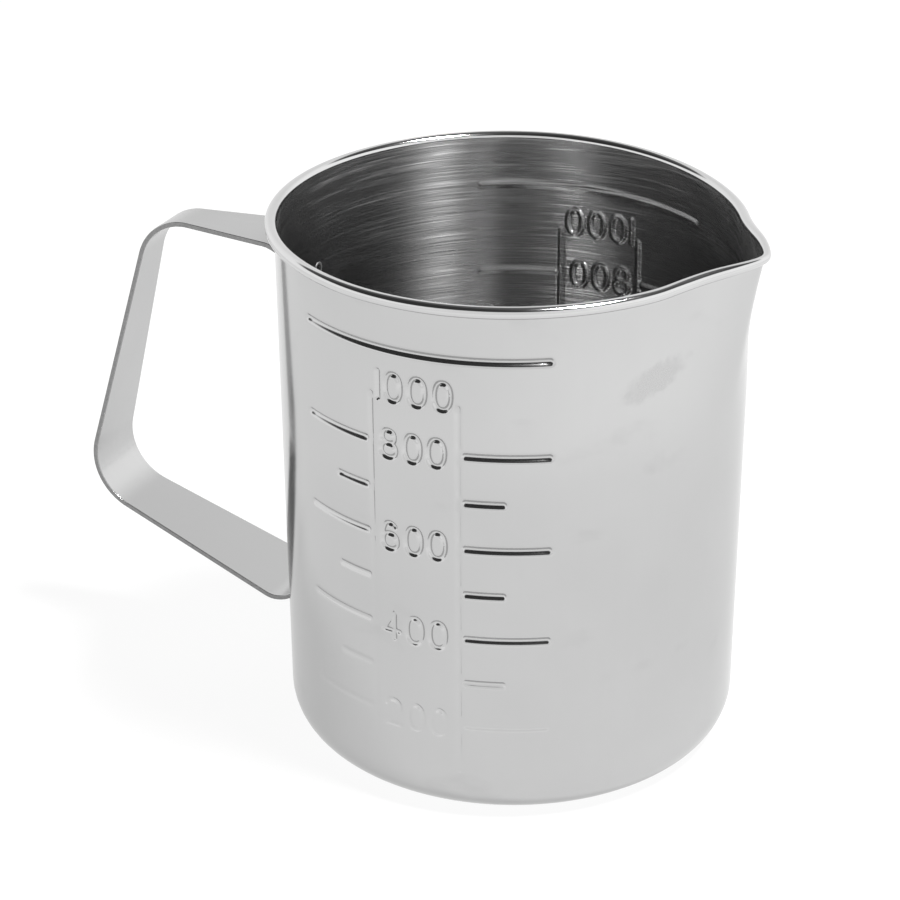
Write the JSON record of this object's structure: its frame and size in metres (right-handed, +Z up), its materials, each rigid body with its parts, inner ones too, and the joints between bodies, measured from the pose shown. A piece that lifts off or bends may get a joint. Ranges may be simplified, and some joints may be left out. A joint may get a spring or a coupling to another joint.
{
  "type": "measuring jug",
  "caption": "Straight steel measuring jug with a rolled rim, a pulled spout, a pressed volume scale on both side walls and a welded strip handle.",
  "frame": {"origin": "middle of the underside of the base", "axes": "+Z up along the cup's axis, +X towards the spout, -X towards the handle, the scales face -Y and +Y"},
  "size_m": [0.1723, 0.1128, 0.1285],
  "materials": {
    "cup_steel": "satin outside, brushed round the axis inside",
    "strip_steel": "satin",
    "weld_steel": "fused metal between wall and strip"
  },
  "bodies": {
    "root": {"cup": "cup_steel", "handle": "strip_steel", "spot_welds": "weld_steel"}
  },
  "joints": []
}
